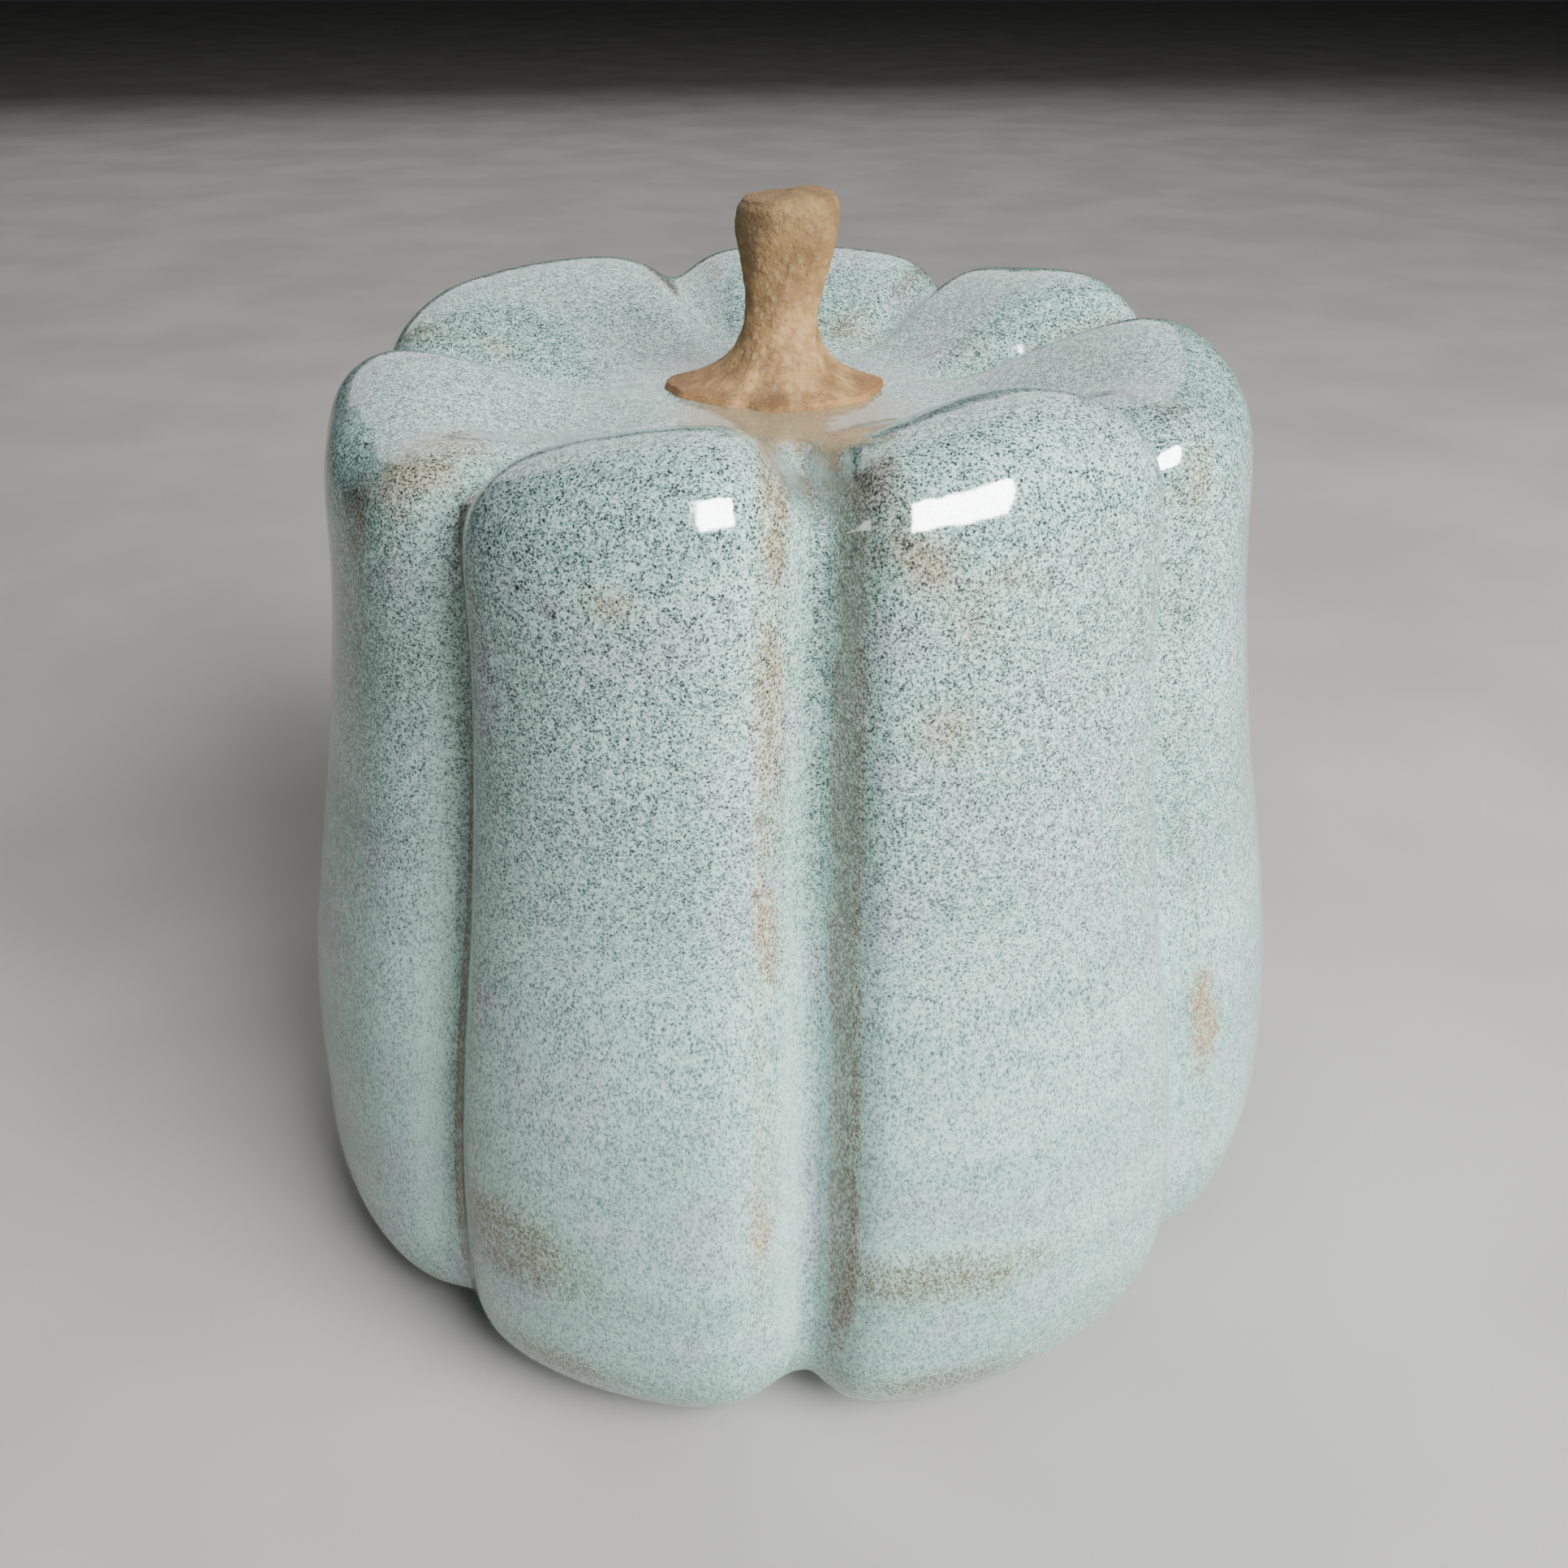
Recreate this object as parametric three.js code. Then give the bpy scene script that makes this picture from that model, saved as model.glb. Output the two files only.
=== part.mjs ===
import * as THREE from 'three';

// A hollow stoneware pumpkin, thrown as a closed form and pressed into seven lobes,
// with a hand-made clay stem stuck on its sunken top.
// Millimetres, +Z up, the front faces -Y, the foot stands on z = 0.
// Azimuths are in degrees from the front, and grow towards +X.

// Outline along the ridge of a lobe, from the middle of the top, over the shoulder
// and down to the foot: reach from the axis, height, depth of the groove beside it.
const seatHeight = 103;
const seatRadius = 14;
const ridge = [
  [0, seatHeight, 0],
  [8, seatHeight, 0],
  [seatRadius, seatHeight, 0],
  [18, seatHeight, 0],
  [23, 104, 2.5],
  [29, 106.6, 4.4],
  [36, 109.4, 6.3],
  [44.8, 111, 7.3],
  [52.5, 105.8, 6.7],
  [52.4, 93.2, 7.5],
  [54.5, 77.2, 7.8],
  [57.3, 60, 7.5],
  [61.1, 43, 7.2],
  [63, 26.6, 5.8],
  [62.2, 10.6, 4.2],
  [56.5, 3, 3.6],
  [46.9, 0, 2.2],
  [38, 0, 0],
  [30, 0, 0],
];

// The lobes, from the front left one round by the right side and the back.
// groove: azimuth of the groove before the lobe; cut: that groove's share of the depth,
// and crest what is left of it at the shoulder; flank and shelf: how wide the walls of
// the grooves before and after the lobe are on its side; drift: how far the groove leans
// round by the top; reach, rise and skew: how much further out and higher the lobe
// stands there, and how its crest slopes across.
const lobes = [
  { groove: -40.7, cut: 0.87, crest: 1, flank: 1.15, shelf: 1.4, drift: -1.3, reach: -0.7, rise: -0.4, skew: 1 },
  { groove: 4.7, cut: 1.26, crest: 1, flank: 0.6, shelf: 1, drift: 1.9, reach: 0.3, rise: 1.8, skew: 0.7 },
  { groove: 52.3, cut: 1, crest: 1, flank: 1, shelf: 1, drift: 0.8, reach: 0.5, rise: -1.2, skew: 1.3 },
  { groove: 109.8, cut: 0.9, crest: 1, flank: 1, shelf: 1, drift: 0, reach: 1.1, rise: 0.7, skew: -0.5 },
  { groove: 149.8, cut: 0.9, crest: 0.7, flank: 1, shelf: 1.1, drift: 0, reach: 0.1, rise: 0.8, skew: 0.1 },
  { groove: 197.7, cut: 0.85, crest: 0.6, flank: 0.85, shelf: 1, drift: 0, reach: 1.6, rise: 0.2, skew: -0.4 },
  { groove: 258.4, cut: 0.9, crest: 1, flank: 1, shelf: 1, drift: 0, reach: -2.7, rise: -4.2, skew: -1.6 },
];
const lean = -0.7;
const middleHeight = 55;

// Section of a groove, as shares of half a lobe's width and of the groove's depth.
const grooveWidth = 0.152;
const grooveFloor = 0.06;
const grooveSharpness = 1.4;
const lobeRoundness = 0.313;
const lobeRoundPower = 2.2;

// The hollow is the outside drawn in towards its middle, with the grooves widened.
const hollowScale = 0.88;
const hollowCentre = 53;
const hollowGrooveWidth = 0.22;
const ventRadius = 5;

// Where the throwing axis lies in the part's frame, which is centred on the whole body.
const axisX = -1.24;
const axisY = -0.81;

// Stem: a waist between a spread foot and a wider head, on its own axis.
const stemHeight = 21.7;
const stemAxis = [0, 1];
const stemWaist = 3.85;
const stemHead = 1.8;
const stemHeadStart = 8;
const stemHeadRise = 10.8;
const stemSquash = 0.86;
const footSpread = 5.9;
const footTips = 2.4;
const footTipPower = 6;
const footWave = 0.4;
const footFade = 2.2;
const footEdge = 0.7;
const stemLean = 1.4;
const stemLeanStart = -0.2;
const stemRim = 1.4;
const stemCutWave = 0.5;

// How finely the faces follow the shape.
const facesPerLobe = 14;
const outerRings = 34;
const innerRings = 18;
const stemSides = 24;
const stemLevels = [0, 0.7, 1.4, 2.3, 3.5, 5, 7, 9, 11, 13, 15, 17, 18.8, 20.3];

const toRadians = Math.PI / 180;
const fullTurn = 360;
const grooveCrowding = 1.4;

function smooth(x) {
  const u = Math.min(Math.max(x, 0), 1);
  return u * u * (3 - 2 * u);
}

// A uniform cubic B-spline through a list of rows, with t from 0 at the first row
// to 1 at the last, where it starts and ends.
function splineAt(rows, t) {
  const columns = rows[0].length;
  const last = rows.length - 1;
  const before = rows[0].map((value, k) => 2 * value - rows[1][k]);
  const after = rows[last].map((value, k) => 2 * value - rows[last - 1][k]);
  const all = [before, ...rows, after];
  const along = Math.min(Math.max(t, 0), 1) * last;
  const i = Math.min(Math.floor(along), last - 1);
  const u = along - i;
  const weights = [
    (1 - u) ** 3,
    3 * u ** 3 - 6 * u ** 2 + 4,
    -3 * u ** 3 + 3 * u ** 2 + 3 * u + 1,
    u ** 3,
  ];
  const point = [];
  for (let k = 0; k < columns; k += 1) {
    const sum = weights.reduce((total, weight, n) => total + weight * all[i + n][k], 0);
    point.push(sum / 6);
  }
  return point;
}

// Share of the groove's depth at a place across a lobe, -1 and 1 being its grooves.
// A wall made wider than usual also gets a flatter floor.
function grooveShare(across, width, wider) {
  const gap = 1 - Math.abs(across);
  const away = Math.sqrt(gap * gap + grooveFloor * grooveFloor) - grooveFloor;
  const round = lobeRoundness * (1 - away) ** lobeRoundPower;
  const sharpness = grooveSharpness * Math.max(wider, 1) ** 0.75;
  const pressed = (1 - lobeRoundness) * Math.exp(-((away / (width * wider)) ** sharpness));
  return round + pressed;
}

// A lobe's own value, shared half and half with its neighbour at their groove.
function lobeValue(index, across, key) {
  const count = lobes.length;
  const neighbour = (index + (across < 0 ? count - 1 : 1)) % count;
  const share = 0.5 * smooth((Math.abs(across) - 0.2) / 0.8);
  return lobes[index][key] * (1 - share) + lobes[neighbour][key] * share;
}

// A point of the body's outside: t runs down the ridge's outline, across runs over
// a lobe. The groove cuts in square to the outline.
function bodyPoint(t, index, across, width) {
  const step = 1e-4;
  const [reach, height, depth] = splineAt(ridge, t);
  const above = splineAt(ridge, t - step);
  const below = splineAt(ridge, t + step);
  const length = Math.hypot(below[0] - above[0], below[1] - above[1]);
  const outward = -(below[1] - above[1]) / length;
  const upward = (below[0] - above[0]) / length;

  const next = (index + 1) % lobes.length;
  const turn = (height - middleHeight) / middleHeight;
  const start = lobes[index].groove + lobes[index].drift * turn;
  const wrap = next === 0 ? fullTurn : 0;
  const end = lobes[next].groove + wrap + lobes[next].drift * turn;
  const azimuth = (start + end + across * (end - start)) / 2 * toRadians;

  const side = smooth((across + 1) / 2);
  const high = smooth((height - 45) / 60);
  const cutOf = (lobe) => lobe.cut * (1 - (1 - lobe.crest) * high);
  const cut = cutOf(lobes[index]) * (1 - side) + cutOf(lobes[next]) * side;
  const wider = across < 0 ? lobes[index].flank : lobes[index].shelf;
  const pressed = grooveShare(across, width, wider) * cut * depth;

  const rim = smooth((reach - seatRadius) / 22);
  const low = smooth(height / 25);
  const slope = lobes[index].skew * Math.sin(Math.PI * across);
  const r = reach + lobeValue(index, across, 'reach') * rim * low - pressed * outward;
  const z = height + (lobeValue(index, across, 'rise') + slope) * rim * high - pressed * upward;
  const leaning = lean * low * rim * height / 100;
  return new THREE.Vector3(
    axisX + r * Math.sin(azimuth) + leaning,
    axisY - r * Math.cos(azimuth),
    z,
  );
}

// One turn round the body at t, with the faces crowded towards the grooves.
function bodyRing(t, width) {
  const ring = [];
  for (let index = 0; index < lobes.length; index += 1) {
    for (let k = 0; k < facesPerLobe; k += 1) {
      const even = 2 * k / facesPerLobe - 1;
      const across = Math.sign(even) * (1 - (1 - Math.abs(even)) ** grooveCrowding);
      ring.push(bodyPoint(t, index, across, width));
    }
  }
  return ring;
}

// The same ring drawn in towards the middle of the hollow.
function hollowRing(t) {
  const centre = new THREE.Vector3(axisX, axisY, hollowCentre);
  return bodyRing(t, hollowGrooveWidth).map((point) => point.lerp(centre, 1 - hollowScale));
}

// A circle in line with the given ring's points, at the edge of the vent.
function ventRing(like, height) {
  return like.map((point) => {
    const angle = Math.atan2(point.y - axisY, point.x - axisX);
    return new THREE.Vector3(
      axisX + ventRadius * Math.cos(angle),
      axisY + ventRadius * Math.sin(angle),
      height,
    );
  });
}

// A closed skin over rings that run from the first pole to the last one.
function skin(firstPole, rings, lastPole) {
  const sides = rings[0].length;
  const points = [firstPole, ...rings.flat(), lastPole];
  const faces = [];
  const at = (ring, k) => 1 + ring * sides + (k % sides);
  for (let k = 0; k < sides; k += 1) {
    faces.push(0, at(0, k), at(0, k + 1));
    for (let ring = 0; ring + 1 < rings.length; ring += 1) {
      faces.push(at(ring, k), at(ring + 1, k), at(ring, k + 1));
      faces.push(at(ring, k + 1), at(ring + 1, k), at(ring + 1, k + 1));
    }
    faces.push(at(rings.length - 1, k), points.length - 1, at(rings.length - 1, k + 1));
  }
  const geometry = new THREE.BufferGeometry().setFromPoints(points);
  geometry.setIndex(faces);
  geometry.computeVertexNormals();
  return geometry;
}

// Outside from the seat to the foot, in through the vent, and up the hollow's wall.
function makeBody() {
  const rings = [];
  for (let k = 1; k <= outerRings; k += 1) {
    rings.push(bodyRing(k / outerRings, grooveWidth));
  }
  const foot = rings[rings.length - 1];
  rings.push(ventRing(foot, 0));
  rings.push(ventRing(foot, hollowCentre * (1 - hollowScale)));
  for (let k = innerRings; k >= 1; k -= 1) {
    rings.push(hollowRing(k / innerRings));
  }
  const ceiling = hollowCentre + (seatHeight - hollowCentre) * hollowScale;
  const seatMiddle = new THREE.Vector3(axisX, axisY, seatHeight);
  return skin(seatMiddle, rings, new THREE.Vector3(axisX, axisY, ceiling));
}

// The stem's section at a height above the seat: a squashed round, spread at the foot
// into a wavy skirt with a point at each side.
function stemRing(level, height, shrink) {
  const ring = [];
  const head = stemHead * smooth((level - stemHeadStart) / stemHeadRise);
  const fade = Math.exp(-Math.max(level - footEdge, 0) / footFade);
  const shift = stemLeanStart + stemLean * level / stemHeight;
  for (let k = 0; k < stemSides; k += 1) {
    const azimuth = 2 * Math.PI * k / stemSides;
    const sideways = Math.sin(azimuth);
    const squash = stemSquash + (1 - stemSquash) * sideways * sideways;
    const tips = footTips * Math.abs(sideways) ** footTipPower;
    const skirt = footSpread + tips + footWave * Math.sin(3 * azimuth + 0.6);
    const r = ((stemWaist + head) * squash + skirt * fade) * shrink;
    ring.push(new THREE.Vector3(
      axisX + stemAxis[0] + shift + r * sideways,
      axisY + stemAxis[1] - r * Math.cos(azimuth),
      seatHeight + height + (shrink < 1 ? stemCutWave * Math.sin(2 * azimuth + 1) : 0),
    ));
  }
  return ring;
}

// From the cut end down to the flat underside of the foot.
function makeStem() {
  const rings = [];
  rings.push(stemRing(stemHeight, stemHeight - stemCutWave, 0.55));
  rings.push(stemRing(stemHeight, stemHeight - stemRim / 2, 0.9));
  for (const level of [...stemLevels].reverse()) {
    rings.push(stemRing(level, level, 1));
  }
  const shift = stemLeanStart + stemLean;
  const top = new THREE.Vector3(axisX + stemAxis[0] + shift, axisY + stemAxis[1], seatHeight + stemHeight);
  const bottom = new THREE.Vector3(axisX + stemAxis[0] + stemLeanStart, axisY + stemAxis[1], seatHeight);
  return skin(top, rings, bottom);
}

const glaze = new THREE.MeshStandardMaterial({ color: 0xb4c9c3, roughness: 0.15, metalness: 0 });
const bareClay = new THREE.MeshStandardMaterial({ color: 0xa98b66, roughness: 0.9, metalness: 0 });

const body = new THREE.Mesh(makeBody(), glaze);
body.name = 'pumpkin_body';

const stem = new THREE.Mesh(makeStem(), bareClay);
stem.name = 'stem';

const pumpkin = new THREE.Group();
pumpkin.add(body, stem);

export default pumpkin;
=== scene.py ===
"""A glazed stoneware pumpkin: a thrown, closed form pressed into seven lobes, dipped in a
speckled celadon glaze, with a bare clay stem modelled by hand. Metres, +Z up, front at -Y."""
import math

import bpy
import numpy as np
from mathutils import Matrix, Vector


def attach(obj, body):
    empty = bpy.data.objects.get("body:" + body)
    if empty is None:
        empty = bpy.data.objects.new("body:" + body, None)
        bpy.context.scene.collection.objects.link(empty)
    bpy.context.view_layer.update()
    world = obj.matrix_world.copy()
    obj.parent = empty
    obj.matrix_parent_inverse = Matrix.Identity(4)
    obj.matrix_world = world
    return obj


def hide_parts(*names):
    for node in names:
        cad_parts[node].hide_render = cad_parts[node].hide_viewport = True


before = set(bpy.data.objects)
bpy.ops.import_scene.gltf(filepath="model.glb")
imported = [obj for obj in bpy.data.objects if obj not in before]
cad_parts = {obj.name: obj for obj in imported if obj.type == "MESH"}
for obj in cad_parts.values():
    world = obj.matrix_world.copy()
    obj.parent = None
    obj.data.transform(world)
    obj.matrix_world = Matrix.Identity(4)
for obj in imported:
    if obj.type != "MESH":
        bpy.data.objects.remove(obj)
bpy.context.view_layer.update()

MM = 0.001

# The body's form, in millimetres and degrees, as the part's source gives it.
# Outline down the ridge of a lobe: reach from the axis, height, depth of the groove beside it.
SEAT_HEIGHT = 103.0
SEAT_RADIUS = 14.0
RIDGE = np.array([
    [0, SEAT_HEIGHT, 0],
    [8, SEAT_HEIGHT, 0],
    [SEAT_RADIUS, SEAT_HEIGHT, 0],
    [18, SEAT_HEIGHT, 0],
    [23, 104, 2.5],
    [29, 106.6, 4.4],
    [36, 109.4, 6.3],
    [44.8, 111, 7.3],
    [52.5, 105.8, 6.7],
    [52.4, 93.2, 7.5],
    [54.5, 77.2, 7.8],
    [57.3, 60, 7.5],
    [61.1, 43, 7.2],
    [63, 26.6, 5.8],
    [62.2, 10.6, 4.2],
    [56.5, 3, 3.6],
    [46.9, 0, 2.2],
    [38, 0, 0],
    [30, 0, 0],
])

# Each lobe: azimuth of the groove before it, that groove's share of the depth and what is
# left of it at the shoulder, how wide the walls of the grooves before and after the lobe are
# on its side, the groove's drift by the top, and the lobe's own reach, rise and skew there.
LOBES = np.array([
    [-40.7, 0.87, 1.0, 1.15, 1.4, -1.3, -0.7, -0.4, 1.0],
    [4.7, 1.26, 1.0, 0.6, 1.0, 1.9, 0.3, 1.8, 0.7],
    [52.3, 1.0, 1.0, 1.0, 1.0, 0.8, 0.5, -1.2, 1.3],
    [109.8, 0.9, 1.0, 1.0, 1.0, 0.0, 1.1, 0.7, -0.5],
    [149.8, 0.9, 0.7, 1.0, 1.1, 0.0, 0.1, 0.8, 0.1],
    [197.7, 0.85, 0.6, 0.85, 1.0, 0.0, 1.6, 0.2, -0.4],
    [258.4, 0.9, 1.0, 1.0, 1.0, 0.0, -2.7, -4.2, -1.6],
])
GROOVE, CUT, CREST, FLANK, SHELF, DRIFT, REACH, RISE, SKEW = range(9)

# Lean to the side per 100 mm of height, where the grooves' drift turns, the heights over
# which the shoulder and the foot take their shape, the grooves, the hollow and the vent.
LEAN = -0.7
MIDDLE_HEIGHT = 55.0
SHOULDER_START = 45.0
SHOULDER_RISE = 60.0
RIM_SPAN = 22.0
FOOT_RISE = 25.0
GROOVE_WIDTH = 0.152
GROOVE_FLOOR = 0.06
GROOVE_SHARPNESS = 1.4
WIDE_GROOVE_POWER = 0.75
LOBE_ROUNDNESS = 0.313
LOBE_ROUND_POWER = 2.2
HOLLOW_SCALE = 0.88
HOLLOW_CENTRE = 53.0
HOLLOW_GROOVE_WIDTH = 0.22
VENT_RADIUS = 5.0
VENT_EDGE = 0.4
AXIS = np.array([-1.24, -0.81])

# Tan where the glaze breaks over a lobe's edge, milky where it pools beside the groove, and
# brown where it thins on the groove's other wall: place and width as shares of half a lobe
# from the groove, and how strong each colour is on each lobe. On the first lobe, in the left
# front groove, the wide, strong brown and umber band is partly thin glaze and partly painted shade.
EDGE_PLACE = 0.25
EDGE_SPREAD = 0.08
POOL_PLACE = 0.11
POOL_SPREAD = 0.07
EDGE_TAN = np.array([0.95, 0.35, 0.5, 0.5, 0.45, 0.5, 0.25])
FLANK_PLACE = np.array([0.11, 0.115, 0.16, 0.16, 0.16, 0.14, 0.16])
FLANK_SPREAD = np.array([0.15, 0.045, 0.06, 0.06, 0.06, 0.08, 0.06])
FLANK_BROWN_AND_SHADE = np.array([1.2, 1.8, 0.3, 0.8, 0.6, 1.0, 0.8])
FLANK_UMBER_AND_SHADE = np.array([1.5, 0.5, 0.0, 0.3, 0.0, 0.4, 0.3])
TOP_RADIUS = 26.0
TOP_FADE = 12.0
WIPED_HEIGHT = 0.25

# How finely the surfaces are worked out.
STEPS_PER_LOBE = 54
OUTER_ROWS = 200
HOLLOW_ROWS = 36
STEM_STEPS = 220
STEM_ROWS = 190
END_ROWS = 24
GROOVE_CROWDING = 1.25
STEM_CROWDING = 1.25
SLOPE_STEP = 1e-4


def smooth(x):
    """3x^2 - 2x^3 between 0 and 1, level outside them."""
    x = np.clip(x, 0.0, 1.0)
    return x * x * (3 - 2 * x)


def spline(rows, t):
    """Uniform cubic B-spline through rows whose ends are drawn out straight, t from 0 to 1."""
    before = 2 * rows[0] - rows[1]
    after = 2 * rows[-1] - rows[-2]
    points = np.vstack([before, rows, after])
    spans = len(rows) - 1
    along = np.clip(t, 0.0, 1.0) * spans
    i = np.minimum(along.astype(int), spans - 1)
    u = (along - i)[:, None]
    weights = ((1 - u) ** 3, 3 * u ** 3 - 6 * u ** 2 + 4, -3 * u ** 3 + 3 * u ** 2 + 3 * u + 1, u ** 3)
    return sum(weight * points[i + k] for k, weight in enumerate(weights)) / 6


def shared(values, lobe, across):
    """A lobe's own value, shared half and half with its neighbour at their groove."""
    count = len(LOBES)
    neighbour = np.where(across < 0, lobe - 1, lobe + 1) % count
    share = 0.5 * smooth((np.abs(across) - 0.2) / 0.8)
    return values[lobe] * (1 - share) + values[neighbour] * share


def round_the_lobes():
    """Lobe number and place across it, -1 to 1, for one turn, crowded towards the grooves."""
    even = np.linspace(-1, 1, STEPS_PER_LOBE, endpoint=False)
    across = np.sign(even) * (1 - (1 - np.abs(even)) ** GROOVE_CROWDING)
    count = len(LOBES)
    return np.repeat(np.arange(count), STEPS_PER_LOBE), np.tile(across, count)


def pressed_form(t, groove_width):
    """Points of the body for each t down the outline and each place round the lobes:
    outline minus groove share times depth, square to the outline, turned to the azimuth."""
    lobe, across = round_the_lobes()
    outline = spline(RIDGE, t)
    slope = spline(RIDGE, t + SLOPE_STEP) - spline(RIDGE, t - SLOPE_STEP)
    length = np.hypot(slope[:, 0], slope[:, 1])
    outward, upward = -slope[:, 1] / length, slope[:, 0] / length
    reach, height, depth = outline.T

    following = (lobe + 1) % len(LOBES)
    turn = (height - MIDDLE_HEIGHT)[:, None] / MIDDLE_HEIGHT
    start = LOBES[lobe, GROOVE] + LOBES[lobe, DRIFT] * turn
    wrap = np.where(following == 0, 360.0, 0.0)
    end = LOBES[following, GROOVE] + wrap + LOBES[following, DRIFT] * turn
    azimuth = np.radians((start + end + across * (end - start)) / 2)

    gap = 1 - np.abs(across)
    away = np.sqrt(gap ** 2 + GROOVE_FLOOR ** 2) - GROOVE_FLOOR
    wider = np.where(across < 0, LOBES[lobe, FLANK], LOBES[lobe, SHELF])
    sharpness = GROOVE_SHARPNESS * np.maximum(wider, 1) ** WIDE_GROOVE_POWER
    pressed = (1 - LOBE_ROUNDNESS) * np.exp(-(away / (groove_width * wider)) ** sharpness)
    groove = LOBE_ROUNDNESS * (1 - away) ** LOBE_ROUND_POWER + pressed
    side = smooth((across + 1) / 2)
    high = smooth((height - SHOULDER_START) / SHOULDER_RISE)[:, None]
    cuts = LOBES[:, CUT] * (1 - (1 - LOBES[:, CREST]) * high)
    cut = cuts[:, lobe] * (1 - side) + cuts[:, following] * side
    inset = groove * cut * depth[:, None]

    rim = smooth((reach - SEAT_RADIUS) / RIM_SPAN)[:, None]
    low = smooth(height / FOOT_RISE)[:, None]
    crest = shared(LOBES[:, RISE], lobe, across) + LOBES[lobe, SKEW] * np.sin(np.pi * across)
    r = reach[:, None] + shared(LOBES[:, REACH], lobe, across) * rim * low - inset * outward[:, None]
    z = height[:, None] + crest * rim * high - inset * upward[:, None]
    x = AXIS[0] + r * np.sin(azimuth) + LEAN * low * rim * height[:, None] / 100
    y = AXIS[1] - r * np.cos(azimuth)
    return np.stack([x, y, z], axis=-1)


def closed_skin(first_pole, rings, last_pole):
    """Vertices and faces of a closed surface: a pole, rings of equal length, a pole."""
    rows, sides = rings.shape[:2]
    points = np.vstack([[first_pole], rings.reshape(-1, 3), [last_pole]])
    k = np.arange(sides)
    here = 1 + np.arange(rows)[:, None] * sides + k
    ahead = 1 + np.arange(rows)[:, None] * sides + (k + 1) % sides
    quads = np.stack([here[:-1], here[1:], ahead[1:], ahead[:-1]], axis=-1).reshape(-1, 4)
    top = np.stack([np.zeros_like(k), here[0], ahead[0]], axis=-1)
    bottom = np.stack([here[-1], np.full_like(k, len(points) - 1), ahead[-1]], axis=-1)
    return points, quads, np.vstack([top, bottom])


def make_piece(name, points, quads, triangles, attributes, material):
    """A smooth-shaded mesh object at the origin, with its place in its mesh."""
    mesh = bpy.data.meshes.new(name)
    corners = np.concatenate([quads.ravel(), triangles.ravel()])
    counts = np.concatenate([np.full(len(quads), 4), np.full(len(triangles), 3)])
    starts = np.concatenate([[0], np.cumsum(counts)[:-1]])
    mesh.vertices.add(len(points))
    mesh.vertices.foreach_set("co", (points * MM).ravel())
    mesh.loops.add(len(corners))
    mesh.loops.foreach_set("vertex_index", corners)
    mesh.polygons.add(len(counts))
    mesh.polygons.foreach_set("loop_start", starts)
    mesh.polygons.foreach_set("use_smooth", np.ones(len(counts), dtype=bool))
    for key, values in attributes.items():
        layer = mesh.attributes.new(key, "FLOAT", "POINT")
        layer.data.foreach_set("value", values.astype(np.float32))
    mesh.update(calc_edges=True)
    mesh.validate()
    mesh.materials.append(material)
    piece = bpy.data.objects.new(name, mesh)
    bpy.context.scene.collection.objects.link(piece)
    return piece


def linear(colour):
    """sRGB hex to linear RGBA."""
    channels = [int(colour[k:k + 2], 16) / 255 for k in (1, 3, 5)]
    return [c / 12.92 if c <= 0.04045 else ((c + 0.055) / 1.055) ** 2.4 for c in channels] + [1.0]


def new_material(name):
    """An empty material and its node tree."""
    material = bpy.data.materials.new(name)
    material.use_nodes = True
    material.node_tree.nodes.clear()
    return material, material.node_tree


def add(tree, kind, settings=None, output=0, **inputs):
    """Adds a node, sets its properties, fills its sockets by name, or by number as s0, s1, and
    returns it with the number of its output. A socket takes a value or such a pair to link."""
    node = tree.nodes.new("ShaderNode" + kind)
    for key, value in (settings or {}).items():
        setattr(node, key, value)
    for key, value in inputs.items():
        number = key[1:]
        socket = node.inputs[int(number) if number.isdigit() else key.replace("_", " ")]
        if isinstance(value, tuple) and isinstance(value[0], bpy.types.Node):
            tree.links.new(value[0].outputs[value[1]], socket)
        else:
            socket.default_value = value
    return node, output


# Properties that many nodes share.
MIX = {"data_type": "RGBA"}
STEP = {"interpolation_type": "SMOOTHSTEP"}
SUM = {"operation": "ADD"}
PRODUCT = {"operation": "MULTIPLY"}
PRODUCT_SUM = {"operation": "MULTIPLY_ADD"}
LARGER = {"operation": "MAXIMUM"}
DISTANCE = {"operation": "DISTANCE"}


def cells(millimetres):
    """The noise scale whose features are about so many millimetres across."""
    return 1 / (millimetres * MM)


def on_body(azimuth, reach, height):
    """The point, in metres, at an azimuth from the front, a reach from the axis and a height."""
    angle = math.radians(azimuth)
    x = AXIS[0] + reach * math.sin(angle)
    y = AXIS[1] - reach * math.cos(angle)
    return (x * MM, y * MM, height * MM)
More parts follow.
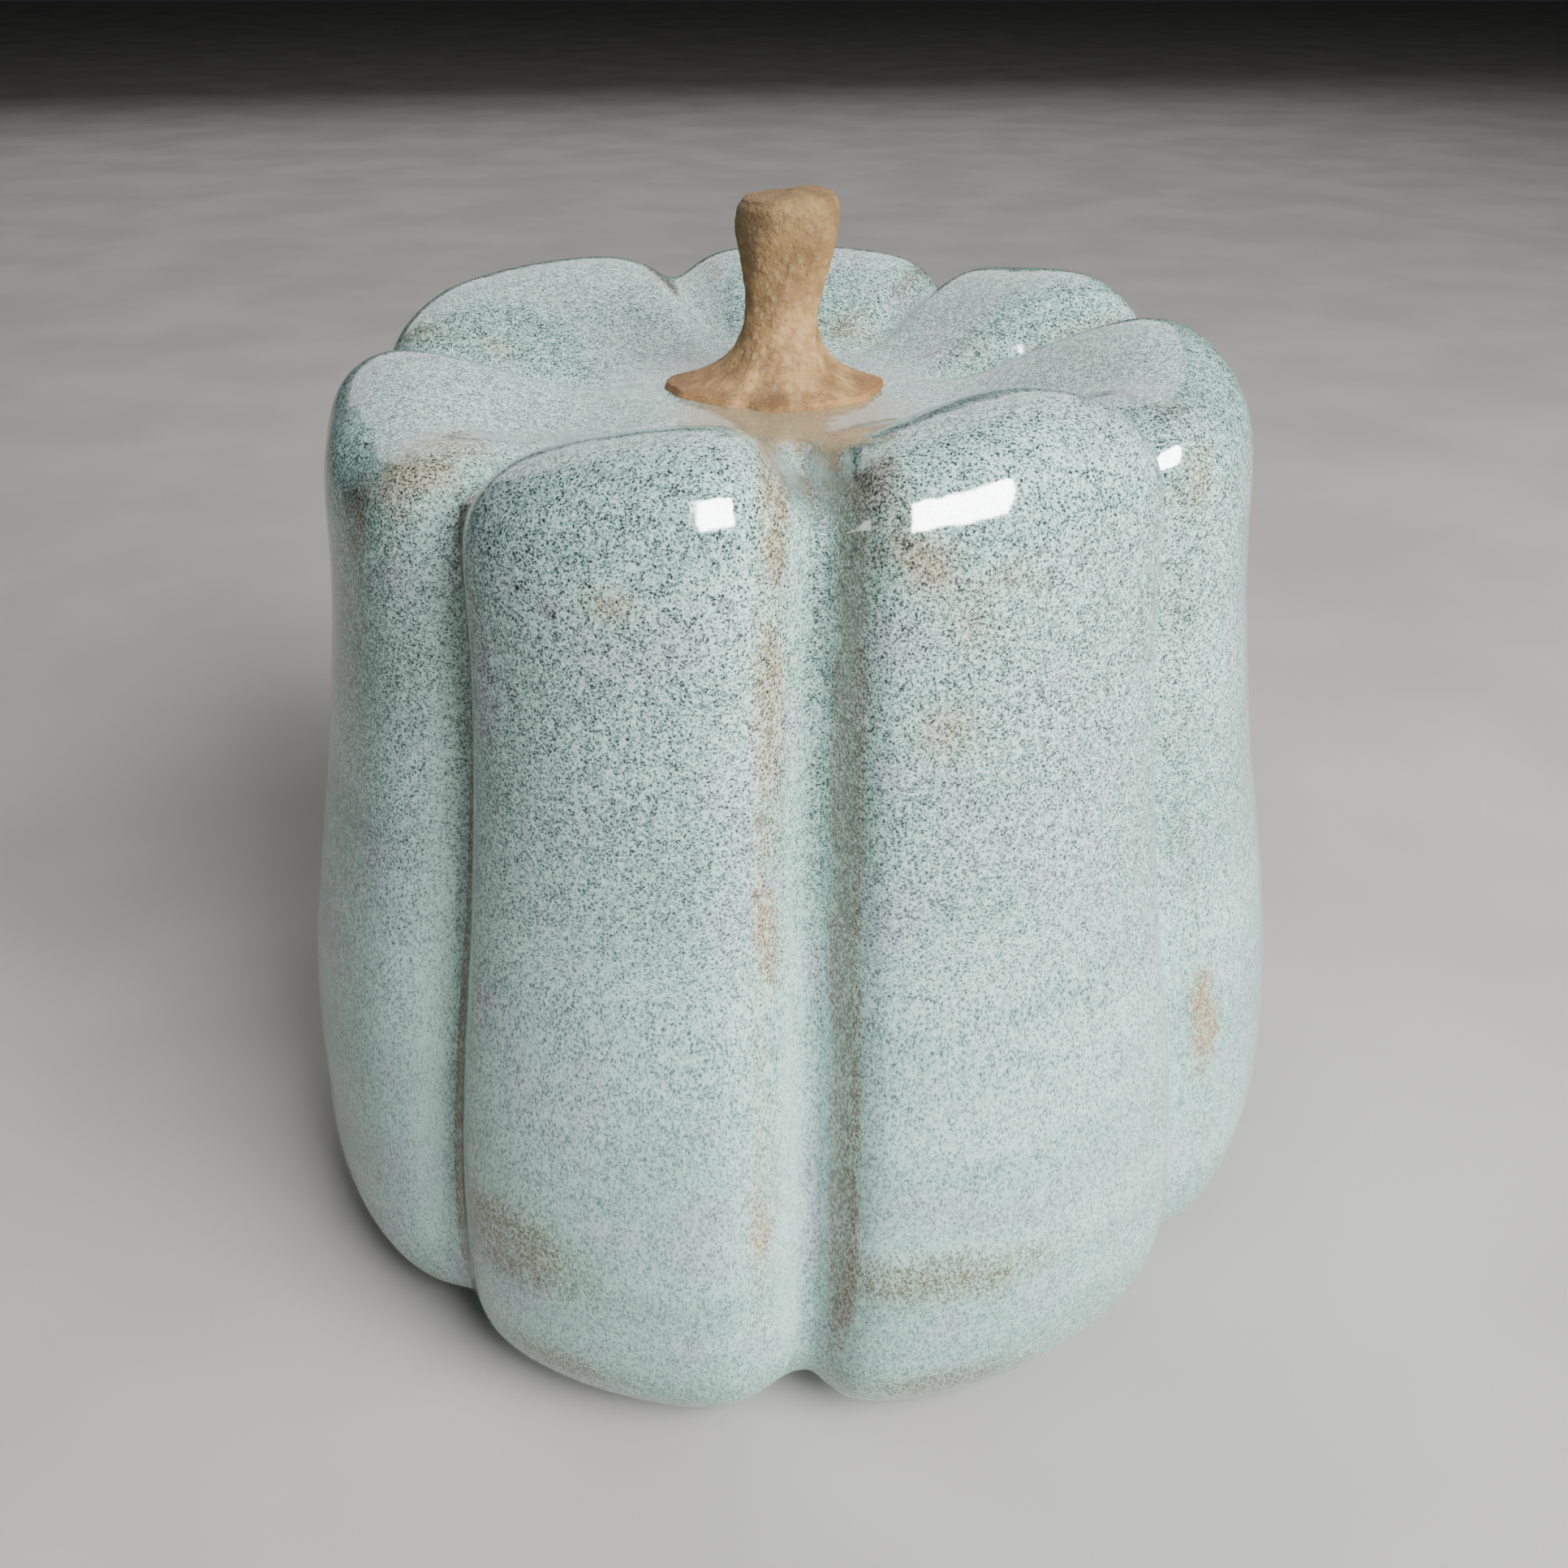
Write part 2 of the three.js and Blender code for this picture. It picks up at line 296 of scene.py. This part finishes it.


# Marks of the kiln on the glaze, by colour: azimuth, reach and height of the middle,
# radius in mm, how many times taller than wide, strength. Two of them, on the left lobe's
# shoulder, are painted reflection of dark surroundings.
KILN_MARKS = {
    "brown": [
        (9.9, 45.8, 106.0, 3.6, 1.2, 1.1),
        (10.5, 48.4, 103.6, 3.4, 1.4, 0.9),
        # Painted reflection: a dark patch on the left lobe's shoulder.
        (-57.5, 49.0, 97.0, 3.0, 2.0, 0.7),
        (203.0, 49.5, 86.0, 2.4, 6.0, 0.7),
    ],
    "rust": [
        (0.3, 45.2, 105.3, 1.2, 2.0, 1.2),
        (-0.2, 47.2, 101.5, 1.0, 3.0, 1.2),
        (-0.8, 48.1, 93.4, 0.9, 1.8, 0.9),
        (128.0, 52.0, 96.0, 1.6, 4.0, 0.7),
        (262.0, 44.0, 96.0, 1.6, 4.0, 0.7),
    ],
    "umber": [
        (9.3, 44.5, 106.2, 2.4, 1.3, 0.55),
        (8.3, 46.0, 101.4, 1.6, 1.5, 1.2),
        (7.6, 45.8, 96.5, 1.4, 1.6, 0.9),
        (61.9, 44.2, 106.9, 2.2, 1.2, 0.7),
        # Painted reflection: a dark patch on the left lobe's shoulder.
        (-60.5, 49.0, 98.6, 2.2, 0.7, 0.9),
        (62.9, 47.7, 99.0, 2.4, 2.0, 0.6),
        (-23.0, 52.0, 97.0, 1.2, 1.0, 0.7),
        (203.0, 49.5, 92.0, 1.8, 6.0, 0.7),
        (100.0, 50.5, 98.0, 2.4, 2.5, 0.6),
    ],
    "tan": [
        (-1.3, 51.7, 65.3, 1.8, 5.0, 0.75),
        (-1.4, 58.6, 33.0, 2.0, 5.0, 0.65),
        (14.0, 50.8, 101.2, 3.6, 0.9, 0.7),
        (19.5, 52.1, 96.6, 3.8, 0.9, 0.6),
        (24.0, 51.5, 99.0, 4.0, 0.7, 0.55),
        (16.5, 53.5, 86.0, 3.4, 1.0, 0.5),
        (-16.0, 52.5, 98.0, 3.4, 0.6, 0.5),
        (-54.6, 40.6, 104.4, 4.6, 1.0, 0.85),
        (-50.1, 45.6, 102.6, 4.6, 1.0, 0.85),
        (58.3, 48.5, 100.9, 2.8, 1.4, 1.0),
        (57.3, 57.8, 40.1, 2.0, 5.0, 0.8),
        (160.5, 25.0, 104.6, 5.0, 1.0, 0.6),
        (120.9, 24.0, 104.4, 5.0, 1.0, 0.6),
        (178.0, 52.0, 100.0, 4.5, 1.2, 0.6),
    ],
    "olive": [
        (-29.0, 61.5, 28.0, 11.0, 0.5, 1.0),
        (17.0, 59.4, 4.6, 12.0, 0.2, 0.8),
        (-19.0, 59.4, 4.6, 11.0, 0.2, 0.7),
        (62.0, 60.0, 5.0, 11.0, 0.2, 0.7),
        (17.4, 61.3, 11.0, 11.0, 0.3, 0.75),
        (15.5, 62.0, 28.0, 14.0, 0.25, 0.8),
        (-23.5, 61.5, 12.0, 9.0, 0.3, 0.7),
        (238.0, 60.0, 24.0, 9.0, 0.6, 0.7),
        (120.0, 61.0, 20.0, 12.0, 0.4, 0.65),
        (178.0, 61.0, 26.0, 12.0, 0.4, 0.65),
    ],
}
MARK_COLOURS = {
    "brown": "#713F25",
    "tan": "#A07C4C",
    "olive": "#6B6746",
    "umber": "#54412C",
    "rust": "#906C3E",
}

# Specks: where in the grain they start and are full, their strength and colour.
SPECKS = [
    (0.4, 0.57, 0.75, "#4C5A56"),
    (0.53, 0.66, 0.85, "#20282A"),
]

# Pinholes that burst through the glaze: azimuth, reach, height, radius in mm.
PINHOLES = [
    (8.3, 46.6, 101.7, 0.45),
    (12.8, 49.4, 99.9, 0.25),
    (-22.1, 52.0, 96.3, 0.3),
    (-26.3, 51.6, 98.2, 0.35),
    (-65.1, 33.5, 103.4, 0.3),
    (140.0, 53.0, 88.0, 0.35),
    (222.0, 55.0, 70.0, 0.35),
]


def celadon_glaze():
    """Stoneware celadon, dipped and fired glossy over iron-bearing clay: pale aqua, peppered
    with fine iron specks, milkier where it pools and tan where it breaks over an edge."""
    material, tree = new_material("celadon_glaze_dipped")
    where = add(tree, "TexCoord", None, 3)
    groove = add(tree, "Attribute", {"attribute_name": "groove"}, 2)
    bare = add(tree, "Attribute", {"attribute_name": "bare"}, 2)

    # On the lower half the glaze ran, so its grain is drawn out there.
    split = add(tree, "SeparateXYZ", Vector=where)[0]
    height = (split, 2)
    upper = add(tree, "Math", LARGER, s0=height, s1=0.06)
    still = add(tree, "Math", PRODUCT, s0=upper, s1=0.4)
    running = add(tree, "Math", PRODUCT_SUM, s0=height, s1=0.6, s2=still)
    ran = add(tree, "CombineXYZ", X=(split, 0), Y=(split, 1), Z=running)

    # The glaze itself, in soft bands that follow the throwing rings, with lavender patches.
    banded = add(tree, "VectorMath", PRODUCT, s0=where, s1=(0.3, 0.3, 2.2))
    cloud = add(tree, "TexNoise", Vector=banded, Scale=cells(20.0), Detail=2.0)
    cloudy = add(tree, "MapRange", STEP, s0=cloud, s1=0.35, s2=0.68)
    colour = add(tree, "Mix", MIX, 2, s0=cloudy, s6=linear("#82A69D"), s7=linear("#98BCB3"))
    haze = add(tree, "TexNoise", Vector=where, Scale=cells(10.0), Detail=2.0)
    hazy = add(tree, "MapRange", STEP, s0=haze, s1=0.47, s2=0.7, s4=0.65)

    # Grain 0.2 to 0.3 mm across, gathered in loose clumps and fainter towards the foot, with
    # milky glaze between its specks, and milkier where the glaze pools beside the grooves.
    fine = add(tree, "TexNoise", Vector=ran, Scale=cells(0.185), Detail=2.0, Roughness=0.7)
    clumps = add(tree, "TexNoise", Vector=ran, Scale=cells(1.0), Detail=1.0)
    from_speck = add(tree, "TexVoronoi", Vector=ran, Scale=cells(0.37))
    loose = add(tree, "Math", PRODUCT_SUM, s0=clumps, s1=0.22, s2=fine)
    grain = add(tree, "Math", PRODUCT_SUM, s0=from_speck, s1=-0.3, s2=loose)
    strength = add(tree, "MapRange", STEP, s0=height, s1=0.03, s2=0.095, s3=0.55, s4=1.2)
    between = add(tree, "MapRange", STEP, s0=grain, s1=0.45, s2=0.27, s4=0.62)
    milky = add(tree, "Math", PRODUCT, s0=between, s1=strength)
    pooled = add(tree, "MapRange", STEP, s0=groove, s1=0.1, s2=0.9, s4=0.4)
    layers = [(hazy, "#98A6AE"), (milky, "#C6DED5"), (pooled, "#B6D9CB")]

    # Kiln marks, ragged at their edges and broken into streaks. The long ones come in lengths.
    ragged = add(tree, "TexNoise", Vector=ran, Scale=cells(2.2), Detail=2.0, Roughness=0.6)
    streaks = add(tree, "TexNoise", Vector=ran, Scale=cells(0.45), Detail=1.0, Roughness=0.7)
    breaking = add(tree, "Math", SUM, s0=ragged, s1=streaks)
    spacing = add(tree, "TexNoise", Vector=where, Scale=cells(9.0), Detail=1.0)
    gaps = add(tree, "MapRange", STEP, s0=spacing, s1=0.36, s2=0.62, s3=0.5, s4=1.15)
    in_lengths = add(tree, "Math", PRODUCT, s0=breaking, s1=gaps)
    peppered = add(tree, "MapRange", STEP, s0=grain, s1=0.35, s2=0.55, s3=0.35, s4=1.0)
    for kind, shade in MARK_COLOURS.items():
        field = add(tree, "Attribute", {"attribute_name": kind}, 2)
        how = in_lengths if kind in ("brown", "tan") else breaking
        broken = add(tree, "Math", PRODUCT, s0=field, s1=how)
        patch = add(tree, "MapRange", STEP, s0=broken, s1=0.1, s2=0.72, s4=0.95)
        layers.append((add(tree, "Math", PRODUCT, s0=patch, s1=peppered), shade))

    # Iron specks, over the marks too.
    drowned = add(tree, "Math", PRODUCT_SUM, s0=pooled, s1=-0.6, s2=strength)
    for start, full, most, shade in SPECKS:
        speck = add(tree, "MapRange", STEP, s0=grain, s1=start, s2=full, s4=most)
        layers.append((add(tree, "Math", PRODUCT, s0=speck, s1=drowned), shade))

    # A thin tan wash round the seat of the stem, widest at the front.
    seat = add(tree, "VectorMath", DISTANCE, 1, s0=where, s1=on_body(8.0, 9.0, 102.5))
    ragged_seat = add(tree, "Math", PRODUCT_SUM, s0=ragged, s1=-0.006, s2=seat)
    wash = add(tree, "MapRange", STEP, s0=ragged_seat, s1=0.012, s2=0.005, s4=0.8)
    layers.append((wash, "#8F7A5A"))

    # Pinholes that burst through the glaze.
    for azimuth, reach, middle, radius in PINHOLES:
        away = add(tree, "VectorMath", DISTANCE, 1, s0=where, s1=on_body(azimuth, reach, middle))
        hole = add(tree, "MapRange", STEP, s0=away, s1=radius * MM, s2=radius * 0.4 * MM)
        layers.append((hole, "#1E1712"))
    for share, shade in layers:
        colour = add(tree, "Mix", MIX, 2, s0=share, s6=colour, s7=linear(shade))

    # The foot, wiped clean of glaze, and the unglazed hollow.
    dusty = add(tree, "MapRange", STEP, s0=grain, s1=0.3, s2=0.6)
    clay = add(tree, "Mix", MIX, 2, s0=dusty, s6=linear("#B0946E"), s7=linear("#8A6F4E"))
    colour = add(tree, "Mix", MIX, 2, s0=bare, s6=colour, s7=clay)

    # Orange peel over 2 mm, with specks that lie a little low.
    peel = add(tree, "TexNoise", Vector=where, Scale=cells(2.2), Detail=1.0, Roughness=0.4)
    relief = add(tree, "Math", PRODUCT_SUM, s0=grain, s1=-0.07, s2=peel)
    bump = add(tree, "Bump", Height=relief, Distance=0.00012, Strength=0.55)

    gloss = add(tree, "MapRange", STEP, s0=haze, s1=0.3, s2=0.7, s3=0.04, s4=0.07)
    roughness = add(tree, "Mix", {"data_type": "FLOAT"}, s0=bare, s2=gloss, s3=0.85)
    shader = add(tree, "BsdfPrincipled", Base_Color=colour, Roughness=roughness, IOR=1.58, Normal=bump)
    add(tree, "OutputMaterial", Surface=shader)
    return material


def bare_stoneware():
    """Buff stoneware left unglazed: dry and open, with grog standing out of it, a blush
    of iron towards the thin edges of the foot, and painted shade darker towards the top."""
    material, tree = new_material("buff_stoneware_bare")
    where = add(tree, "TexCoord", None, 3)
    spread = add(tree, "Attribute", {"attribute_name": "spread"}, 2)
    grog = add(tree, "Attribute", {"attribute_name": "grog"}, 2)
    body = add(tree, "TexNoise", Vector=where, Scale=cells(3.5), Detail=4.0, Roughness=0.65)
    fine = add(tree, "TexNoise", Vector=where, Scale=cells(0.45), Detail=3.0, Roughness=0.7)
    patchy = add(tree, "TexNoise", Vector=where, Scale=cells(1.6), Detail=2.0, Roughness=0.6)
    height = (add(tree, "SeparateXYZ", Vector=where)[0], 2)
    uneven = add(tree, "Math", SUM, s0=body, s1=patchy)
    blush = add(tree, "Math", PRODUCT, s0=spread, s1=uneven)

    # Laid over the dark clay: what drives a layer, where it starts and is full, strength, colour.
    layers = [
        (body, 0.3, 0.7, 1.0, "#997849"),
        (fine, 0.55, 0.75, 0.35, "#C3A577"),
        (fine, 0.42, 0.27, 0.75, "#46311C"),
        (grog, 0.0, 1.0, 0.22, "#C8AB80"),
        (blush, 0.5, 1.3, 0.6, "#7D5029"),
        # Painted shade: the clay darker towards the top of the stem, whose head gets less light.
        (height, 0.106, 0.12, 0.5, "#584425"),
    ]
    colour = linear("#664925")
    for field, start, full, most, shade in layers:
        share = add(tree, "MapRange", STEP, s0=field, s1=start, s2=full, s4=most)
        colour = add(tree, "Mix", MIX, 2, s0=share, s6=colour, s7=linear(shade))

    relief = add(tree, "Math", PRODUCT_SUM, s0=body, s1=0.8, s2=fine)
    bump = add(tree, "Bump", Height=relief, Distance=0.0003, Strength=0.8)
    shader = add(tree, "BsdfPrincipled", Base_Color=colour, Roughness=0.88, IOR=1.45,
                 Specular_IOR_Level=0.15, Normal=bump)
    add(tree, "OutputMaterial", Surface=shader)
    return material


def marked(points, marks):
    """Strength of a kind of mark at points: strength * exp(-d^2), where d is the distance
    from a mark's middle in radii, with its height drawn out. The strongest mark wins."""
    strongest = np.zeros(points.shape[:-1])
    for azimuth, reach, middle, radius, taller, strength in marks:
        offset = points - np.array(on_body(azimuth, reach, middle)) / MM
        offset[..., 2] /= taller
        distance = (offset ** 2).sum(axis=-1) / radius ** 2
        strongest = np.maximum(strongest, strength * np.exp(-distance))
    return strongest


def make_body():
    """The outside from the seat to the foot, in through the vent, and up the hollow's wall."""
    t_out = np.arange(1, OUTER_ROWS + 1) / OUTER_ROWS
    outside = pressed_form(t_out, GROOVE_WIDTH)
    t_in = np.arange(HOLLOW_ROWS, 0, -1) / HOLLOW_ROWS
    inside = pressed_form(t_in, HOLLOW_GROOVE_WIDTH)
    centre = np.array([AXIS[0], AXIS[1], HOLLOW_CENTRE])
    inside = centre + (inside - centre) * HOLLOW_SCALE

    toward = outside[-1, :, :2] - AXIS
    circle = AXIS + toward / np.linalg.norm(toward, axis=1, keepdims=True) * VENT_RADIUS
    floor = HOLLOW_CENTRE * (1 - HOLLOW_SCALE)
    levels = (0.0, VENT_EDGE, floor - VENT_EDGE, floor)
    vent = [np.column_stack([circle, np.full(len(circle), z)]) for z in levels]
    rings = np.concatenate([outside, vent, inside])
    ceiling = HOLLOW_CENTRE + (SEAT_HEIGHT - HOLLOW_CENTRE) * HOLLOW_SCALE
    points, quads, triangles = closed_skin([*AXIS, SEAT_HEIGHT], rings, [*AXIS, ceiling])

    # Where the glaze pools, where it breaks brown or tan, where shade is painted in the left
    # front groove, and where the clay is bare.
    lobe, across = round_the_lobes()
    height = outside[..., 2]
    gap = 1 - np.abs(across)
    from_axis = np.hypot(outside[..., 0] - AXIS[0], outside[..., 1] - AXIS[1])
    off_the_top = smooth((from_axis - TOP_RADIUS) / TOP_FADE) * smooth((height - 6) / 20)
    upper = smooth((height - 20) / 85)
    edge = np.where(across > 0, np.exp(-((gap - EDGE_PLACE) / EDGE_SPREAD) ** 2), 0.0)
    edge = edge * EDGE_TAN[lobe] * (0.3 + 0.7 * upper ** 3) * off_the_top
    from_flank = (gap - FLANK_PLACE[lobe]) / FLANK_SPREAD[lobe]
    flank_and_shade = np.where(across < 0, np.exp(-from_flank ** 2), 0.0)
    flank_and_shade = flank_and_shade * (0.8 + 0.2 * upper) * off_the_top
    pooled = np.where(across > 0, np.exp(-((gap - POOL_PLACE) / POOL_SPREAD) ** 2), 0.0)
    pooled = pooled * smooth((height - 4) / 20)
    fields = {kind: marked(outside, marks) for kind, marks in KILN_MARKS.items()}
    fields["tan"] = np.maximum(fields["tan"], edge)
    # Painted shade: on the first lobe this band is laid wide and dark for the shade in the left front
    # groove.
    fields["brown"] = np.maximum(fields["brown"], flank_and_shade * FLANK_BROWN_AND_SHADE[lobe])
    fields["umber"] = np.maximum(fields["umber"], flank_and_shade * FLANK_UMBER_AND_SHADE[lobe])
    fields["groove"] = pooled
    attributes = {}
    rest = (rings.shape[0] - len(outside)) * rings.shape[1]
    for key, values in fields.items():
        attributes[key] = np.concatenate([[0.0], values.ravel(), np.zeros(rest + 1)])
    wiped = np.where(height < WIPED_HEIGHT, 1.0, 0.0)
    attributes["bare"] = np.concatenate([[0.0], wiped.ravel(), np.ones(rest + 1)])
    return make_piece("glazed_body", points, quads, triangles, attributes, celadon_glaze())


# Stem, as in the part's source, in millimetres, with the clay's grog and the maker's finger marks.
STEM_HEIGHT = 21.7
STEM_WALL = 20.5
STEM_AXIS = (0.0, 1.0)
STEM_WAIST = 3.85
STEM_HEAD = 1.8
STEM_HEAD_START = 8.0
STEM_HEAD_RISE = 10.8
STEM_SQUASH = 0.86
FOOT_SPREAD = 5.9
FOOT_TIPS = 2.4
FOOT_TIP_POWER = 6
FOOT_WAVE = 0.4
FOOT_FADE = 2.2
FOOT_EDGE = 0.7
BLUSH_START = 5.5
STEM_LEAN = 1.4
STEM_LEAN_START = -0.2
RIM_START = 19.1
RIM_ROUND = 0.5
STEM_CUT = 0.9
STEM_CUT_TILT = 0.2
STEM_CUT_TILT_START = 15.0
STEM_CUT_TILT_RISE = 5.0
GROG_GRAINS = 520
GROG_SEED = 7
GROG_SIZES = (0.22, 0.5)
GROG_RELIEF = 0.12


def grog_relief(height, azimuth, radius):
    """The highest of the round bumps exp(-distance^2 / size^2) at seeded places on the
    stem's wall, each as high as it is wide, 0 to 1."""
    draw = np.random.default_rng(GROG_SEED)
    at_height = draw.uniform(0.5, STEM_HEIGHT, GROG_GRAINS)
    at_azimuth = draw.uniform(0, 2 * np.pi, GROG_GRAINS)
    size = draw.uniform(*GROG_SIZES, GROG_GRAINS)
    relief = np.zeros_like(height)
    for z0, a0, s0 in zip(at_height, at_azimuth, size):
        turn = (azimuth - a0 + np.pi) % (2 * np.pi) - np.pi
        distance = (height - z0) ** 2 + (turn * radius) ** 2
        relief = np.maximum(relief, np.exp(-distance / s0 ** 2) * s0 / GROG_SIZES[1])
    return relief


def make_stem():
    """Rings up the stem: (waist + head) squashed front to back, plus a skirt that fades by
    exp(-height / fade) and has a point at each side, then a ragged cut end closed to a pole."""
    azimuth = np.linspace(0, 2 * np.pi, STEM_STEPS, endpoint=False)[None, :]
    level = (np.linspace(0, 1, STEM_ROWS) ** STEM_CROWDING * STEM_WALL)[:, None]
    sideways = np.sin(azimuth)
    squash = STEM_SQUASH + (1 - STEM_SQUASH) * sideways ** 2
    head = STEM_HEAD * smooth((level - STEM_HEAD_START) / STEM_HEAD_RISE)
    fade = np.exp(-np.maximum(level - FOOT_EDGE, 0) / FOOT_FADE)
    tips = FOOT_TIPS * np.abs(sideways) ** FOOT_TIP_POWER
    skirt = FOOT_SPREAD + tips + FOOT_WAVE * np.sin(3 * azimuth + 0.6)
    torn = 0.24 * np.sin(7 * azimuth + 1) + 0.17 * np.sin(11 * azimuth + 2.2)
    torn = torn + 0.1 * np.sin(19 * azimuth)
    r = (STEM_WAIST + head) * squash + (skirt + torn) * fade

    grog = grog_relief(level + 0 * azimuth, azimuth + 0 * level, r)
    above = smooth(level / 0.6)
    fingers = 0.14 * np.sin(2 * azimuth + 0.35 * level) + 0.1 * np.sin(5 * azimuth - 0.5 * level)
    rounded = RIM_ROUND * smooth((level - RIM_START) / (STEM_WALL - RIM_START)) ** 2
    r = r + above * (GROG_RELIEF * grog + fingers - GROG_RELIEF) - rounded

    shift = STEM_LEAN_START + STEM_LEAN * level / STEM_HEIGHT
    x = AXIS[0] + STEM_AXIS[0] + shift + r * sideways
    y = AXIS[1] + STEM_AXIS[1] - r * np.cos(azimuth)
    tilt = STEM_CUT_TILT * sideways * smooth((level - STEM_CUT_TILT_START) / STEM_CUT_TILT_RISE)
    z = SEAT_HEIGHT + level + tilt
    wall = np.stack([x, y, z], axis=-1)[::-1]

    # The cut end: the last ring drawn in step by step, rising to a wavy, lumpy top.
    inward = np.linspace(1, 0, END_ROWS + 2)[1:-1, None]
    start = AXIS[0] + STEM_AXIS[0] + STEM_LEAN_START
    middle = np.array([start + STEM_LEAN, AXIS[1] + STEM_AXIS[1]])
    rim = wall[0][None]
    top_xy = middle + (rim[..., :2] - middle) * inward[..., None] ** 0.8
    lumps = 0.25 * np.sin(azimuth) + 0.2 * np.sin(3 * azimuth + 1)
    rise = STEM_CUT * np.sqrt(1 - inward ** 2) * (0.7 + inward * lumps)
    top_z = wall[0][None, :, 2] + np.clip(rise, 0.0, STEM_CUT)
    end = np.concatenate([top_xy, top_z[..., None]], axis=-1)[::-1]
    rings = np.concatenate([end, wall])
    pole = [*middle, float(end[0][:, 2].mean())]
    bottom = [start, AXIS[1] + STEM_AXIS[1], SEAT_HEIGHT]
    points, quads, triangles = closed_skin(pole, rings, bottom)
    from_middle = np.hypot(points[:, 0] - bottom[0], points[:, 1] - bottom[1])
    spread = np.clip((from_middle - BLUSH_START) / BLUSH_START, 0, 1)
    grog_all = np.concatenate([[0.0], np.zeros(end.shape[:2]).ravel(), grog[::-1].ravel(), [0.0]])
    attributes = {"spread": spread, "grog": grog_all}
    return make_piece("clay_stem", points, quads, triangles, attributes, bare_stoneware())


body = make_body()
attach(body, "root")
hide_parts("pumpkin_body")

stem = make_stem()
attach(stem, "root")
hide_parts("stem")


# The floor's half side in metres, and how strongly the surroundings shine.
FLOOR_HALF = 3.0
SURROUNDINGS = 0.035


def studio():
    """A pale floor, a soft key from the front right with a lamp of its own for the highlight
    that it leaves in the glaze, and weak fills."""
    floor_material, tree = new_material("matt_paper_floor")
    where = add(tree, "TexCoord", None, 3)
    fibre = add(tree, "TexNoise", Vector=where, Scale=cells(60.0), Detail=2.0)
    shaded = add(tree, "MapRange", STEP, s0=fibre, s1=0.3, s2=0.7)
    tone = add(tree, "Mix", MIX, 2, s0=shaded, s6=linear("#9E9C98"), s7=linear("#A8A6A2"))
    shader = add(tree, "BsdfPrincipled", Base_Color=tone, Roughness=0.8, Specular_IOR_Level=0.0)
    add(tree, "OutputMaterial", Surface=shader)
    half = FLOOR_HALF
    corners = [(-half, -half, 0), (half, -half, 0), (half, half, 0), (-half, half, 0)]
    mesh = bpy.data.meshes.new("floor")
    mesh.from_pydata(corners, [], [(0, 1, 2, 3)])
    mesh.materials.append(floor_material)
    floor = bpy.data.objects.new("floor", mesh)
    bpy.context.scene.collection.objects.link(floor)

    world = bpy.data.worlds.new("studio")
    bpy.context.scene.world = world
    world.use_nodes = True
    background = world.node_tree.nodes["Background"]
    background.inputs["Color"].default_value = linear("#C4C8CE")
    background.inputs["Strength"].default_value = SURROUNDINGS

    # Name, place, the point it faces, width, height in metres, power in watts, and whether it
    # lights what is matt and shows in what is glossy.
    lamps = [
        ("window", (0.35, -0.45, 0.50), (0.0, 0.0, 0.07), 0.42, 0.34, 12.0, True, False),
        ("glare", (0.17, -0.53, 0.52), (0.0, 0.0, 0.1), 0.50, 0.42, 100.0, False, True),
        ("side", (0.80, -0.46, 0.26), (0.0, 0.0, 0.06), 0.6, 0.5, 12.6, True, False),
        ("sky", (-0.15, 0.20, 0.80), (0.0, 0.0, 0.08), 0.8, 0.8, 2.0, True, False),
        ("back", (-0.2, 1.05, 0.70), (0.0, 0.0, 0.08), 1.4, 0.8, 5.0, True, True),
    ]
    for name, place, target, width, tall, power, on_matt, in_gloss in lamps:
        data = bpy.data.lights.new(name, "AREA")
        data.shape = "RECTANGLE"
        data.size = width
        data.size_y = tall
        data.energy = power
        lamp = bpy.data.objects.new(name, data)
        lamp.location = place
        lamp.visible_diffuse = on_matt
        lamp.visible_glossy = in_gloss
        lamp.rotation_euler = (Vector(target) - Vector(place)).to_track_quat("-Z", "Y").to_euler()
        bpy.context.scene.collection.objects.link(lamp)


# The camera stands about 200 mm from the middle of the body, 29 degrees above level.
FRAME_PIXELS = 1932
FOCAL_PIXELS = 1937
SENSOR_MM = 36.0
CAMERA_DISTANCE = 200.3
CAMERA_PITCH = 29.18
CAMERA_TARGET = (AXIS[0] + 0.56, AXIS[1], 52.7)


def place_camera():
    """A camera with the lens's own focal length, turned to the middle of the ornament."""
    data = bpy.data.cameras.new("camera")
    data.sensor_width = SENSOR_MM
    data.lens = SENSOR_MM * FOCAL_PIXELS / FRAME_PIXELS
    data.clip_start = 0.01
    camera = bpy.data.objects.new("camera", data)
    pitch = math.radians(CAMERA_PITCH)
    target = Vector(CAMERA_TARGET) * MM
    offset = Vector((0.0, -math.cos(pitch), math.sin(pitch))) * CAMERA_DISTANCE * MM
    camera.location = target + offset
    camera.rotation_euler = (-offset).to_track_quat("-Z", "Y").to_euler()
    bpy.context.scene.collection.objects.link(camera)
    bpy.context.scene.camera = camera


studio()
place_camera()
